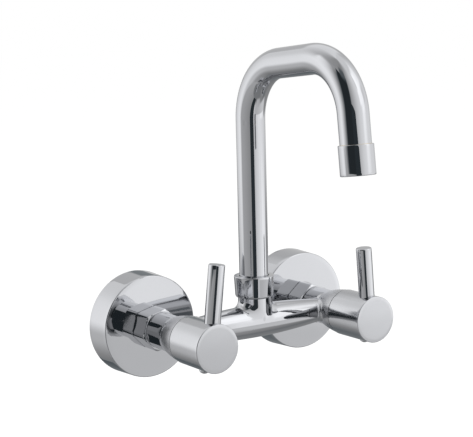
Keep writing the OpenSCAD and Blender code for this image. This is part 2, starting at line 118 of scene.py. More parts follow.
def at_outlet():
    """Local z runs down the aerator from the end of the tube, local x to the right."""
    *_, p4, turn = spout_stations()
    riser = at_riser()[:3, 3]
    down = np.array([0, -math.sin(turn), math.cos(turn)])
    right = np.array([1.0, 0, 0])
    return place(
        riser + np.array([0, -p4[0], p4[1]]), right, np.cross(down, right), down
    )


# ---------- surfaces ----------


def mesh_object(name, points, faces):
    """Object in the scene from an array of points in metres and arrays of faces."""
    mesh = bpy.data.meshes.new(name)
    rows = [row for f in faces for row in f.tolist()]
    mesh.from_pydata(np.asarray(points).tolist(), [], rows)
    made = bpy.data.objects.new(name, mesh)
    bpy.context.scene.collection.objects.link(made)
    return made


def make_piece(name, points, faces, body, replaces, slot):
    """Piece of the mixer from an array of points in millimetres and arrays of faces.

    Six times the volume inside is the sum of a . (b x c) over the triangles (a, b, c). Where it is
    negative, the faces are turned round, so that they point outwards."""
    points = np.asarray(points, float) * MM
    corners = [f[:, [0, k, k + 1]] for f in faces for k in range(1, f.shape[1] - 1)]
    tri = points[np.vstack(corners)]
    volume = np.einsum("ij,ij->i", tri[:, 0], np.cross(tri[:, 1], tri[:, 2])).sum()
    if volume < 0:
        faces = [f[:, ::-1] for f in faces]
    piece = mesh_object(name, points, faces)
    piece.data.validate()
    piece.data.shade_smooth()
    piece.data.set_sharp_from_angle(angle=SHARP_EDGE)
    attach(piece, body)
    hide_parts(*replaces)
    dress(piece, slot)
    return piece


def grid_faces(rows, columns, wrap_rows, wrap_columns):
    """Quads of a grid whose point (i, j) has the number i * columns + j, closed where it wraps."""
    i, j = np.meshgrid(
        np.arange(rows if wrap_rows else rows - 1),
        np.arange(columns if wrap_columns else columns - 1),
        indexing="ij",
    )
    i2, j2 = (i + 1) % rows, (j + 1) % columns
    quads = [i * columns + j, i * columns + j2, i2 * columns + j2, i2 * columns + j]
    return np.stack([q.ravel() for q in quads], 1)


def arc_points(centre, radius, start, stop, steps):
    """Points of a circle: centre plus radius times (cosine, sine) of evenly spaced angles."""
    angles = np.linspace(start, stop, steps)
    return centre + radius * np.stack([np.cos(angles), np.sin(angles)], 1)


def rounded(corners, steps=6):
    """Outline with its corners rounded: corner (r, z, radius) becomes an arc between two edges.

    The arc's centre lies on the bisector, radius / sin(half the angle) from the corner, and the
    arc meets the edges radius / tan(half the angle) from it."""
    made, count = [], len(corners)
    for k, (r, z, radius) in enumerate(corners):
        here = np.array([r, z])
        if radius <= 0:
            made.append(here[None])
            continue
        back = np.array(corners[k - 1][:2]) - here
        ahead = np.array(corners[(k + 1) % count][:2]) - here
        back, ahead = back / np.linalg.norm(back), ahead / np.linalg.norm(ahead)
        half = math.acos(np.clip(back @ ahead, -1, 1)) / 2
        bisector = (back + ahead) / np.linalg.norm(back + ahead)
        centre = here + bisector * radius / math.sin(half)
        start = here + back * radius / math.tan(half) - centre
        stop = here + ahead * radius / math.tan(half) - centre
        a0, a1 = math.atan2(start[1], start[0]), math.atan2(stop[1], stop[0])
        a1 = a0 + (a1 - a0 + math.pi) % TURN - math.pi
        made.append(arc_points(centre, radius, a0, a1, steps))
    return np.vstack(made)


def dense(outline, longest, closed):
    """Outline with points added along its long edges, so that no edge is longer than given."""
    ends = np.roll(outline, -1, 0) if closed else outline[1:]
    made = []
    for a, b in zip(outline, ends, strict=False):
        parts = max(1, math.ceil(np.linalg.norm(b - a) / longest))
        made.append(a + (b - a) * np.arange(parts)[:, None] / parts)
    if not closed:
        made.append(outline[-1:])
    return np.vstack(made)


def lathe(outline, columns, closed=True, radius_scale=None):
    """Outline (r, z) turned about z: the point at angle t is (r cos t, r sin t, z).

    An open outline starts and ends on the axis, where its row of points is one point.
    radius_scale(t, r, z) multiplies r, which makes a hexagon of a circle."""
    angles = np.arange(columns) * TURN / columns
    r, z = outline[:, :1], outline[:, 1:]
    scale = 1.0 if radius_scale is None else radius_scale(angles[None], r, z)
    x, y = r * scale * np.cos(angles), r * scale * np.sin(angles)
    points = np.stack([x, y, np.broadcast_to(z, x.shape)], 2).reshape(-1, 3)
    faces = grid_faces(len(outline), columns, closed, True)
    if closed:
        return points, [faces]
    first, last = np.arange(columns), (len(outline) - 1) * columns + np.arange(columns)
    renumber = np.arange(len(points))
    renumber[first], renumber[last] = first[0], last[0]
    faces = renumber[faces]
    low = faces[(faces == first[0]).any(1)]
    high = faces[(faces == last[0]).any(1)]
    body = faces[~(faces == first[0]).any(1) & ~(faces == last[0]).any(1)]
    caps = [drop_repeat(low), drop_repeat(high)]
    return keep_used(points, [body, *caps])


def drop_repeat(quads):
    """Triangles from quads that use one point twice in a row."""
    return quads[quads != np.roll(quads, -1, 1)].reshape(len(quads), 3)


def keep_used(points, faces):
    """Points without those that no face uses, and the faces numbered anew."""
    used = np.unique(np.concatenate([f.ravel() for f in faces]))
    number = np.full(len(points), -1)
    number[used] = np.arange(len(used))
    return points[used], [number[f] for f in faces]


def moved(points, matrix):
    """Points taken from a local place into the frame."""
    return points @ matrix[:3, :3].T + matrix[:3, 3]


# ---------- the bridge, as a field ----------


# Sizes of the casting that only the field needs, in millimetres. A rod or bore is (radius, from,
# to): along a valve's axis it counts from the wall, along the riser's axis from the bridge's axis.
BARREL_END = 12  # from a valve's axis to the end of the barrel's curve
BARREL_HOLD = 8  # past that end the curve is held, so that its root stays real
NECK_TOP = 22.0
NECK_THREAD = (12.9, 0, 31.0)
NECK_BORES = ((10.02, 14.5, 34), (7.5, 0, 16.5))
FRONT_SWELL = 2.6  # the neck's fillet is larger by this share where it faces the front
BULGE_START = 0.6  # from the bridge's axis to where a housing starts to widen
HOUSING_BACK, BACK_CHAMFER = 41.3, 0.6
HOUSING_REACH = 24  # a housing's ends cut nothing farther than this from its axis
HOUSING_BORES = ((10.45, 40, 48.2), (6.5, 40, 52), (11.6, 51, 82.5), (12.1, 68.5, 83))
CROSS_RADIUS, CROSS_END = 6.5, 9.6  # the way along the bridge, and its end before a valve's axis
SAME_WAY = 0.995  # largest cosine between two surfaces that a fillet is worked out for
# Sizes of the work that finds the skin.
BATCHES = 24  # parts in which the grid's values are worked out, to save memory
HALVINGS = 22  # of a grid edge, to find where the surface crosses it
FLAT_SHARE = 0.06  # of a cell's largest eigenvalue, under which it counts as flat that way
INSET = 0.25  # of the way from a corner to the middle of its face, where its slope is taken


def fillet_union(a, b, radius, cosine):
    """Two distances whose gradients meet at a cosine, joined with a rolling ball's fillet.

    With u = radius - a and v = radius - b, the ball's centre is
    sqrt((u^2 + v^2 - 2 cosine u v) / (1 - cosine^2)) away, and the fillet is radius minus that.
    Outside the fillet the smaller distance counts."""
    cosine = np.clip(cosine, 0, SAME_WAY)
    u, v = radius - a, radius - b
    ball = radius - np.sqrt((u * u + v * v - 2 * cosine * u * v) / (1 - cosine**2))
    within = (u > cosine * v) & (v > cosine * u)
    return np.where(within, ball, np.minimum(a, b))


def rod(off_axis, along, radius, low, high):
    """Distance, about, to a rod: the largest of those past its wall and past its two ends."""
    return np.maximum.reduce([off_axis - radius, low - along, along - high])


def housing_outside(from_wall):
    """Outer radius of a housing: level as far as the bridge, then a circle's arc to the front.

    The arc's centre is the middle of its chord, moved square to it by
    sqrt(curve^2 - chord^2 / 4)."""
    s = bpy.context.scene.mixer_sizes
    boss, curve = s.boss_radius / MM, s.housing_curve / MM
    begin, edge = s.bridge_out / MM + BULGE_START, s.housing_out / MM
    rise, run = s.housing_radius / MM - boss, edge - begin
    chord = math.hypot(rise, run)
    lift = math.sqrt(curve**2 - chord**2 / 4)
    centre_r = boss + rise / 2 - lift * run / chord
    centre_t = begin + run / 2 + lift * rise / chord
    t = np.clip(from_wall, begin, edge + 1)
    grown = centre_r + np.sqrt(curve**2 - (t - centre_t) ** 2)
    return np.where(from_wall < begin, boss, grown)


def bridge_field(p):
    """Signed distance, about, to the bridge casting, negative inside.

    The barrel's radius falls off along x as a circle's arc, each housing's radius grows along the
    valve axis, the neck is a cylinder, and the water ways are cut out of them."""
    s = bpy.context.scene.mixer_sizes
    spacing, out = s.inlet_spacing / MM / 2, s.bridge_out / MM
    x, y, z = p[:, 0], p[:, 1] + out, p[:, 2]
    from_wall = -p[:, 1]
    off_bridge, off_riser = np.hypot(y, z), np.hypot(x, y)

    reach = spacing - BARREL_END
    big, small = s.bridge_radius / MM, s.bridge_end_radius / MM
    rho = (reach**2 + (big - small) ** 2) / (2 * (big - small))
    held = np.minimum(np.abs(x), reach + BARREL_HOLD)
    solid = off_bridge - (big - rho + np.sqrt(rho**2 - held**2))
    past = np.abs(x) - reach
    solid = np.where(past > 0, np.maximum(solid, past), solid)

    neck = np.maximum(off_riser - s.neck_radius / MM, -z)
    leaning = y * y / np.maximum(off_bridge * off_riser, 1e-6)
    ball = s.neck_fillet / MM * (1 + FRONT_SWELL * leaning)
    solid = np.maximum(fillet_union(solid, neck, ball, leaning), z - NECK_TOP)
    solid = np.minimum(solid, rod(off_riser, z, *NECK_THREAD))

    begin, edge, boss = out + BULGE_START, s.housing_out / MM, s.boss_radius / MM
    outside = housing_outside(from_wall)
    for side in SIDES.values():
        off_valve = np.hypot(x - side * spacing, z)
        leaning = z * z / np.maximum(off_bridge * off_valve, 1e-6)
        solid = fillet_union(
            solid, off_valve - outside, s.housing_fillet / MM, leaning
        )
        ended = np.maximum.reduce([solid, from_wall - edge, HOUSING_BACK - from_wall])
        chamfer = off_valve - boss + HOUSING_BACK + BACK_CHAMFER - from_wall
        chamfered = np.maximum(ended, chamfer * math.sqrt(0.5))
        near = np.abs(x - side * spacing) < HOUSING_REACH
        solid = np.where(near, np.where(from_wall < begin, chamfered, ended), solid)
    for side in SIDES.values():
        off_valve = np.hypot(x - side * spacing, z)
        for bore in HOUSING_BORES:
            solid = np.maximum(solid, -rod(off_valve, from_wall, *bore))
    end = spacing - CROSS_END
    solid = np.maximum(solid, -rod(off_bridge, x, CROSS_RADIUS, -end, end))
    for bore in NECK_BORES:
        solid = np.maximum(solid, -rod(off_riser, z, *bore))
    return solid


def slope(field, p, step=0.004):
    """Unit gradient of a field by central differences."""
    made = np.empty_like(p)
    for axis in range(3):
        shift = np.zeros(3)
        shift[axis] = step
        made[:, axis] = field(p + shift) - field(p - shift)
    return made / np.maximum(np.linalg.norm(made, axis=1)[:, None], 1e-12)


def skin(field, low, high, step):
    """Zero level of a field on a cubic grid, one point for each cell that it crosses.

    Each edge of the grid whose ends differ in sign gives a crossing and its slope. A cell's point
    is the least-squares meeting place of the planes at its crossings, so edges stay sharp, and the
    four cells round each crossing make a face."""
    axes = [np.arange(low[k], high[k] + step, step) for k in range(3)]
    shape = tuple(len(a) for a in axes)
    grid = np.stack(np.meshgrid(*axes, indexing="ij"), 3).reshape(-1, 3)
    parts = [field(part) for part in np.array_split(grid, BATCHES)]
    value = np.concatenate(parts).reshape(shape)
    inside = value < 0
    cells = tuple(n - 1 for n in shape)
    count = int(np.prod(cells))
    normal_matrix, normal_side = np.zeros((count, 3, 3)), np.zeros((count, 3))
    mass, hits = np.zeros((count, 3)), np.zeros(count)
    rings = []
    for axis in range(3):
        unit = np.eye(3, dtype=int)[axis]
        head = [slice(None)] * 3
        tail = [slice(None)] * 3
        head[axis], tail[axis] = slice(0, -1), slice(1, None)
        crossing = inside[tuple(head)] != inside[tuple(tail)]
        at = np.argwhere(crossing)
        a, b = low + at * step, low + (at + unit) * step
        fa = value[tuple(at.T)]
        for _ in range(HALVINGS):
            middle = (a + b) / 2
            fm = field(middle)
            same = (fm < 0) == (fa < 0)
            a = np.where(same[:, None], middle, a)
            b = np.where(same[:, None], b, middle)
        hit = (a + b) / 2
        n = slope(field, hit)
        u, v = [np.eye(3, dtype=int)[(axis + k) % 3] for k in (1, 2)]
        around = [at - u - v, at - v, at, at - u]
        numbers = [(c[:, 0] * cells[1] + c[:, 1]) * cells[2] + c[:, 2] for c in around]
        for number in numbers:
            np.add.at(normal_matrix, number, n[:, :, None] * n[:, None, :])
            np.add.at(normal_side, number, n * (n * hit).sum(1)[:, None])
            np.add.at(mass, number, hit)
            np.add.at(hits, number, 1)
        ring = np.stack(numbers, 1)
        flip = ~inside[tuple(at.T)]
        ring[flip] = ring[flip][:, ::-1]
        rings.append(ring)
    used = np.flatnonzero(hits)
    mean = mass[used] / hits[used][:, None]
    m = normal_matrix[used]
    rest = normal_side[used] - np.einsum("ijk,ik->ij", m, mean)
    values, vectors = np.linalg.eigh(m)
    counts = values > FLAT_SHARE * values[:, -1:]
    inverse = np.where(counts, 1 / np.maximum(values, 1e-9), 0)
    away = np.einsum("ijk,ik,ilk,il->ij", vectors, inverse, vectors, rest)
    away = np.clip(away, -step, step)
    renumber = np.full(count, -1)
    renumber[used] = np.arange(len(used))
    return mean + away, [renumber[np.vstack(rings)]]


def field_normals(piece, field):
    """Each face corner's normal is the field's slope a little way in from it on that face."""
    mesh = piece.data
    count = len(mesh.loops)
    corner = np.empty(count, int)
    mesh.loops.foreach_get("vertex_index", corner)
    co = np.empty(len(mesh.vertices) * 3)
    mesh.vertices.foreach_get("co", co)
    points = co.reshape(-1, 3) / MM
    sizes = np.empty(len(mesh.polygons), int)
    mesh.polygons.foreach_get("loop_total", sizes)
    face = np.repeat(np.arange(len(sizes)), sizes)
    middle = np.zeros((len(sizes), 3))
    np.add.at(middle, face, points[corner])
    middle /= sizes[:, None]
    normals = slope(field, points[corner] * (1 - INSET) + middle[face] * INSET)
    mesh.normals_split_custom_set(normals.tolist())


# ---------- shader maths ----------


class Sum:
    """A node socket that takes part in Python arithmetic, adding its Math nodes to the tree."""

    def __init__(self, tree, socket):
        self.tree, self.socket = tree, socket

    def math(self, operation, *values):
        """Output of one Math node."""
        return node(self.tree, "ShaderNodeMath", {"operation": operation}, *values)

    def __add__(self, other):
        return self.math("ADD", self, other)

    def __sub__(self, other):
        return self.math("SUBTRACT", self, other)

    def __mul__(self, other):
        return self.math("MULTIPLY", self, other)

    def __rsub__(self, other):
        return self.math("SUBTRACT", other, self)

    __radd__, __rmul__ = __add__, __mul__


def node(tree, kind, settings, *values, output=0):
    """One node of any type: its settings first, then its inputs by place or by name."""
    made = tree.nodes.new(kind)
    for name, value in settings.items():
        setattr(made, name, value)
    given = enumerate(values)
    if len(values) == 1 and isinstance(values[0], dict):
        given = values[0].items()
    for key, value in given:
        if isinstance(value, Sum):
            tree.links.new(value.socket, made.inputs[key])
        else:
            made.inputs[key].default_value = value
    return Sum(tree, made.outputs[output]) if len(made.outputs) else None


def here_on(tree):
    """Object coordinates of the point, which are those of the frame in metres."""
    return node(tree, "ShaderNodeTexCoord", {}, output=3)


def split(tree, vector):
    """The three coordinates of a vector."""
    x = node(tree, "ShaderNodeSeparateXYZ", {}, vector)
    return [Sum(tree, socket) for socket in x.socket.node.outputs]


def ramp(tree, value, low, high, start, stop):
    """Smooth step from start to stop while the value goes from low to high."""
    settings = {"interpolation_type": "SMOOTHSTEP"}
    return node(
        tree, "ShaderNodeMapRange", settings, value, low, high, start, stop
    )


def window(tree, value, low, high, soft):
    """1 between low and high, falling smoothly to 0 over soft to each side of both ends."""
    rise = ramp(tree, value, low - soft, low + soft, 0, 1)
    return rise * ramp(tree, value, high - soft, high + soft, 1, 0)


def blended(tree, factor, one, other):
    """Colour between two, by a factor from 0 to 1."""
    values = {0: factor, 6: (*one, 1), 7: (*other, 1)}
    return node(tree, "ShaderNodeMix", {"data_type": "RGBA"}, values, output=2)


# Fronts of the two valve housings, in metres: from and to along y, the soft rim there, the
# distance aside at which the band fades in, and what it adds to the roughness.
SATIN_FRONT, SATIN_RIM = (-0.0832, -0.0652), 0.0008
SATIN_ASIDE, SATIN_ADDS = (0.052, 0.056), 0.26


def finish_material(
    name, base, darker, rough, swing, bump_scale, bump, metallic, grain, satin
):
    """Principled finish whose colour and roughness vary with one noise of scale grain.

    The colour goes from base to base times darker, and the roughness from half of swing under
    rough to half of swing over it. satin leaves the fronts of the housings less polished."""
    material = bpy.data.materials.new(name)
    material.use_nodes = True
    tree = material.node_tree
    shader = tree.nodes["Principled BSDF"]
    shader.inputs["Metallic"].default_value = metallic
    here = here_on(tree)
    values = {"Vector": here, "Scale": grain, "Detail": 3.0, "Roughness": 0.55}
    cloud = node(tree, "ShaderNodeTexNoise", {}, values)
    tint = blended(tree, cloud, base, [v * darker for v in base])
    spread = cloud * swing + (rough - swing / 2)
    if satin:
        x, y, _ = split(tree, here)
        band = window(tree, y, *SATIN_FRONT, SATIN_RIM)
        band = band * ramp(tree, x.math("ABSOLUTE", x), *SATIN_ASIDE, 0, 1)
        spread = spread + band * SATIN_ADDS
    values = {"Vector": here, "Scale": bump_scale, "Detail": 2.0}
    wave = node(tree, "ShaderNodeTexNoise", {}, values)
    values = {"Height": wave, "Distance": bump, "Strength": 1.0}
    relief = node(tree, "ShaderNodeBump", {}, values)
    for key, made in (
        ("Base Color", tint),
        ("Roughness", spread),
        ("Normal", relief),
    ):
        tree.links.new(made.socket, shader.inputs[key])


def finishes():
    """The seven finishes by the record's slot names, made once.

    A row has the slot, colour, darker share, roughness and its swing, the scale and the height of
    the bumps, metallic, and the scale of the noise."""
    if "mixer_chrome" not in bpy.data.materials:
        c = bpy.context.scene.mixer_colours
        for slot, tint, *finish in (
            ("chrome", c.chrome, 0.96, 0.035, 0.02, 22, 0.00012, 1.0, 30),
            ("knob_chrome", c.knob_chrome, 0.96, 0.15, 0.05, 26, 0.0001, 1.0, 60),
            ("brass", c.brass, 0.85, 0.24, 0.12, 500, 0.00001, 1.0, 90),
            ("rubber", c.rubber, 0.8, 0.62, 0.15, 900, 0.00002, 0.0, 300),
            ("ceramic", c.ceramic, 0.95, 0.18, 0.08, 700, 0.000005, 0.0, 200),
            ("steel", c.steel, 0.9, 0.26, 0.1, 600, 0.00001, 1.0, 120),
            ("plastic", c.plastic, 0.95, 0.4, 0.12, 800, 0.00001, 0.0, 250),
        ):
            finish_material("mixer_" + slot, tuple(tint), *finish, slot == "chrome")
    slots = [m["slot"] for m in frame["record"]["materials"]]
    return {slot: bpy.data.materials["mixer_" + slot] for slot in slots}


def dress(obj, slot):
    """Gives an object the finish of a slot, in place of whatever it had."""
    obj.data.materials.clear()
    obj.data.materials.append(finishes()[slot])


# ---------- sizes and colours ----------


def length(name, description, default):
    """Property for a length, in metres."""
    return bpy.props.FloatProperty(
        name=name, description=description, default=default, min=0, unit="LENGTH"
    )


def colour(name, description, default):
    """Property for a colour, as the three linear shares that a shader takes."""
    return bpy.props.FloatVectorProperty(
        name=name,
        description=description,
        default=default,
        size=3,
        min=0,
        max=1,
        subtype="COLOR",
    )


def angle(name, description, degrees):
    """Property for an angle, given in degrees and kept in radians."""
    return bpy.props.FloatProperty(
        name=name,
        description=description,
        default=math.radians(degrees),
        subtype="ANGLE",
        unit="ROTATION",
    )


class MixerSizes(bpy.types.PropertyGroup):
    """Sizes of the mixer, in metres and radians."""

    inlet_spacing: length("Inlet spacing", "Distance between the two inlets", 0.150)
    flange_radius: length("Flange radius", "Outer radius at the wall", 0.0416)
    flange_depth: length("Flange depth", "Height from the wall", 0.0238)
    nut_flats: length("Nut", "Width across the flats", 0.030)
    nut_length: length("Nut length", "Length along the inlet", 0.0168)
    left_nut_turn: angle("Left nut turn", "From corner up toward the spout", 16)
    right_nut_turn: angle("Right nut turn", "From corner up toward the spout", 10)
    bridge_out: length("Bridge out", "Distance of its axis from the wall", 0.0604)
    bridge_radius: length("Bridge radius", "Radius in the middle", 0.01315)
    bridge_end_radius: length("Bridge end", "Radius at the housing", 0.0093)
    boss_radius: length("Boss radius", "Housing radius behind the bridge", 0.0143)
    housing_radius: length("Housing radius", "Radius at the front edge", 0.0182)
    housing_out: length("Housing out", "Front edge from the wall", 0.0815)
    housing_curve: length("Housing curve", "Radius of its bulge", 0.100)
    housing_fillet: length("Housing fillet", "Where the bridge meets it", 0.0042)
    neck_radius: length("Neck radius", "Radius of the spout boss", 0.0131)
    neck_fillet: length("Neck fillet", "Where the bridge meets it", 0.0048)
    knob_radius: length("Knob radius", "Outer radius", 0.0185)
    knob_length: length("Knob length", "Length along the axis", 0.0377)
    lever_radius: length("Lever radius", "Radius of the pin", 0.00625)
    lever_set: length("Lever set", "Lever axis behind the knob's face", 0.0094)
    left_reach: length("Left lever", "Reach from the valve axis", 0.0617)
    right_reach: length("Right lever", "Reach from the valve axis", 0.0573)
    left_lean: angle("Left lean", "Lean toward the spout", 6.9)
    right_lean: angle("Right lean", "Lean toward the spout", 3.8)
    tube_radius: length("Tube radius", "Outer radius of the spout", 0.01155)
    tube_wall: length("Tube wall", "Wall of the spout", 0.00105)
    arm_height: length("Arm height", "Height of the first bend's top", 0.2053)
    bend1_radius: length("First bend", "Centre-line radius", 0.0447)
    bend1_angle: angle("First bend angle", "Turn of the first bend", 84.6)
    arm_length: length("Arm length", "Upper straight", 0.0405)
    bend2_radius: length("Second bend", "Centre-line radius", 0.0427)
    bend2_angle: angle("Second bend angle", "Turn of the second bend", 89)
    drop_length: length("Drop length", "Straight above the aerator", 0.0213)
    aerator_radius: length("Aerator radius", "Radius of its housing", 0.01295)
    aerator_length: length("Aerator length", "Length of its housing", 0.02225)
    collar_radius: length("Collar radius", "Radius at the top", 0.016)
    collar_low_radius: length("Collar foot", "Radius at the bottom", 0.0151)
    collar_base: length("Collar base", "Height of its underside", 0.0199)
    collar_length: length("Collar height", "Length of the collar", 0.0174)


class MixerColours(bpy.types.PropertyGroup):
    """Colours of the finishes and of the studio."""

    chrome: colour("Chrome", "Polished chrome plate", (0.545, 0.552, 0.573))
    knob_chrome: colour("Knob chrome", "Softly polished plate", (0.545, 0.552, 0.573))
    brass: colour("Brass", "Machined brass", (0.78, 0.62, 0.34))
    rubber: colour("Rubber", "Seals", (0.035, 0.035, 0.038))
    ceramic: colour("Ceramic", "Valve discs", (0.86, 0.84, 0.78))
    steel: colour("Steel", "Clips, screws and screen", (0.55, 0.56, 0.58))
    plastic: colour("Plastic", "Aerator insert and slip washer", (0.80, 0.80, 0.78))
    floor: colour("Floor", "Floor of the studio", (1.0, 1.0, 1.0))


# ---------- shapes ----------


# The profiles below are lists of corners (radius, height, rounding) in millimetres.


def flange_shape(side):
    """Cup: a thin-walled profile turned about the inlet's axis."""
    s = bpy.context.scene.mixer_sizes
    r, d = s.flange_radius / MM, s.flange_depth / MM
    wall, taper, hole = 1.4, 1.0, 13.2
    outline = rounded(
        [
            (r - wall, 0, 0.2),
            (r, 0, 0.3),
            (r - taper, d, 0.85),
            (hole, d, 0.25),
            (hole, d - wall, 0.2),
            (r - taper - wall - 0.3, d - wall, 0.6),
        ]
    )
    points, faces = lathe(dense(outline, 4, True), 192)
    return moved(points, at_valve(side)), faces


def eased_minimum(a, b, hardness):
    """Smaller of two values without a kink: -log(exp(-k a) + exp(-k b)) / k."""
    return -np.logaddexp(-a * hardness, -b * hardness) / hardness


def nut_shape(side):
    """Hexagon whose radius at angle t is the smaller of flats / cos and a chamfer cone, eased.

    Inside it are a bore for the nipple's shoulder and a narrower lip at the front."""
    s = bpy.context.scene.mixer_sizes
    flat = s.nut_flats / MM / 2
    back = s.flange_depth / MM + 0.3
    front = back + s.nut_length / MM
    bore, lip, lip_depth, easing = 13.15, 11.2, 3.5, 0.2
    corner_limit = flat / math.cos(math.pi / 6) - 0.35
    cone_slope, front_land, back_land = 1.732, 0.35, 0.9
    sixth, turned = math.pi / 3, s.left_nut_turn if side < 0 else s.right_nut_turn

    outline = rounded(
        [
            (bore, back, 0.15),
            (flat - easing, back, easing),
            (flat, back + 0.15, 0),
            (flat, front - 0.25, 0),
            (flat - easing, front, easing),
            (lip, front, 0.2),
            (lip, front - lip_depth, 0.1),
            (bore, front - lip_depth, 0.1),
        ]
    )
    outline = dense(outline, 0.6, True)

    def hexagon(t, r, z):
        """Share by which the radius of the nut's outside grows at angle t, and 1 inside it."""
        inward = (t + turned + sixth / 2) % sixth - sixth / 2
        eased = eased_minimum(flat / np.cos(inward), corner_limit, 3)
        front_cone = flat + front_land + (front - z) * cone_slope
        back_cone = flat + back_land + (z - back) * cone_slope
        limit = eased_minimum(eased, np.minimum(front_cone, back_cone), 6)
        return np.where(r > bore + 0.15, limit / flat, 1.0)

    points, faces = lathe(outline, 288, radius_scale=hexagon)
    return moved(points, at_valve(side)), faces


def knob_shape(side, lean):
    """Barrel with a flat face, hollow behind for the bonnet."""
    s = bpy.context.scene.mixer_sizes
    back = s.housing_out / MM + KNOB_GAP
    front, r = back + s.knob_length / MM, s.knob_radius / MM
    hollow, floor = 15.4, 98.2
    outline = rounded(
        [
            (0, front, 0),
            (r, front, 0.55),
            (r, back, 0.4),
            (hollow, back, 0.2),
            (hollow, floor, 0.3),
            (0, floor, 0),
        ]
    )
    points, faces = lathe(dense(outline, 2.5, False), 160, closed=False)
    return moved(points, at_valve(side, lean)), faces


def lever_shape(side, lean, reach):
    """Pin with a rounded end and a narrower stem in the knob, turned about the lever's axis."""
    s = bpy.context.scene.mixer_sizes
    r = s.lever_radius / MM
    out = s.housing_out / MM + KNOB_GAP + s.knob_length / MM - s.lever_set / MM
    foot, stem, shoulder = 7, 4, 11.5
    outline = rounded(
        [
            (0, foot, 0),
            (stem, foot, 0.2),
            (stem, shoulder, 0.2),
            (r, shoulder, 0.2),
            (r, reach, 1.1),
            (0, reach, 0),
        ]
    )
    points, faces = lathe(dense(outline, 2.5, False), 96, closed=False)
    points = np.stack([points[:, 0], points[:, 2], -points[:, 1]], 1) + [0, 0, out]
    return moved(points, at_valve(side, lean)), faces


def collar_shape():
    """Round swivel nut: a hollow profile turned about the riser, with a lip over the tube."""
    s = bpy.context.scene.mixer_sizes
    z, h = s.collar_base / MM, s.collar_length / MM
    top, foot = s.collar_radius / MM, s.collar_low_radius / MM
    bore, lip, ceiling = s.neck_radius / MM + 0.05, s.tube_radius / MM + 0.4, 34.8
    outline = rounded(
        [
            (foot, z, 2.2),
            (top, z + h, 0.75),
            (lip, z + h, 0.3),
            (lip, ceiling, 0.1),
            (bore, ceiling, 0.1),
            (bore, z, 0.2),
        ],
        9,
    )
    points, faces = lathe(dense(outline, 1.5, True), 128)
    return moved(points, at_riser()), faces


def aerator_shape():
    """Cup over the outlet: a hollow profile turned about the outlet's axis, with a lip below."""
    s = bpy.context.scene.mixer_sizes
    r, h = s.aerator_radius / MM, s.aerator_length / MM
    rim, socket, seat, bore, lip, mouth = 0.15, 11.85, 8.8, 11.3, 1.75, 9.8
    outline = rounded(
        [
            (r, rim, 0.55),
            (r, h, 0.7),
            (mouth, h, 0.25),
            (mouth, h - lip, 0.1),
            (bore, h - lip, 0.2),
            (bore, seat, 0.1),
            (socket, seat, 0.1),
            (socket, rim, 0.1),
        ]
    )
    points, faces = lathe(dense(outline, 1.5, True), 128)
    return moved(points, at_outlet()), faces


def spout_shape():
    """Tube: two circles, outside and bore, carried along straights and bends without a step.

    A bend's point at heading h is its centre plus r (-cos h, sin h), and a circle's point at
    angle t is its centre plus its radius times (right cos t + across sin t)."""
    s = bpy.context.scene.mixer_sizes
    start, c1, p1, p2, c2, p3, p4, turn = spout_stations()
    a1 = s.bend1_angle
    r1, r2 = s.bend1_radius / MM, s.bend2_radius / MM
    foot, columns, ease = 34.5, 112, 0.15

    def straight(a, b, heading, count):
        """Points from a to b, with their heading."""
        t = np.linspace(0, 1, count)[:, None]
        return a + (b - a) * t, np.full(count, heading)

    def bend(c, r, h0, h1, count):
        """Points of an arc from one heading to another, with their headings."""
        h = np.linspace(h0, h1, count)
        return c + r * np.stack([-np.cos(h), np.sin(h)], 1), h

    parts = [
        straight(np.array([0, foot]), start, 0, 64),
        bend(c1, r1, 0, a1, 60),
        straight(p1, p2, a1, 24),
        bend(c2, r2, a1, turn, 62),
        straight(p3, p4, turn, 14),
    ]
    path, heading = (
        np.concatenate([part[k][min(n, 1) :] for n, part in enumerate(parts)])
        for k in (0, 1)
    )
    angles = np.arange(columns) * TURN / columns
    right = np.array([1.0, 0, 0])
    level = np.zeros_like(heading)
    across = np.stack([level, -np.cos(heading), -np.sin(heading)], 1)
    centre = at_riser()[:3, 3] + np.stack([level, -path[:, 0], path[:, 1]], 1)
    circle = (
        np.cos(angles)[None, :, None] * right
        + np.sin(angles)[None, :, None] * across[:, None, :]
    )
    outer, inner = s.tube_radius / MM, (s.tube_radius - s.tube_wall) / MM
    skins = [
        centre[:1, None] + circle[:1] * (outer - ease),
        centre[:, None] + circle * outer,
        centre[-1:, None] + circle[-1:] * (outer - ease),
        centre[::-1, None] + circle[::-1] * inner,
    ]
    points = np.concatenate(skins)
    faces = grid_faces(len(points), columns, True, True)
    return points.reshape(-1, 3), [faces]


# ---------- operators ----------


class MixerBridge(bpy.types.Operator):
    """Bridge casting with its housings and neck, blended with round fillets"""

    bl_idname = "mixer.bridge"
    bl_label = "Bridge body"

    def execute(self, context):
        step = 0.8
        low = np.array([-94.1, -82.3, -19.05])
        high = np.array([94.1, -40.4, 32.3])
        shape = skin(bridge_field, low, high, step)
        piece = make_piece("bridge", *shape, "base", ["bridge_body"], "chrome")
        field_normals(piece, bridge_field)
        return {"FINISHED"}


class MixerInlets(bpy.types.Operator):
    """Flanges and union nuts on both inlets"""

    bl_idname = "mixer.inlets"
    bl_label = "Flanges and nuts"

    def execute(self, context):
        for name, side in SIDES.items():
            for kind, shape, replaced in (
                ("_flange_cup", flange_shape(side), "_flange"),
                ("_hexagon_nut", nut_shape(side), "_union_nut"),
            ):
                make_piece(name + kind, *shape, "base", [name + replaced], "chrome")
        return {"FINISHED"}


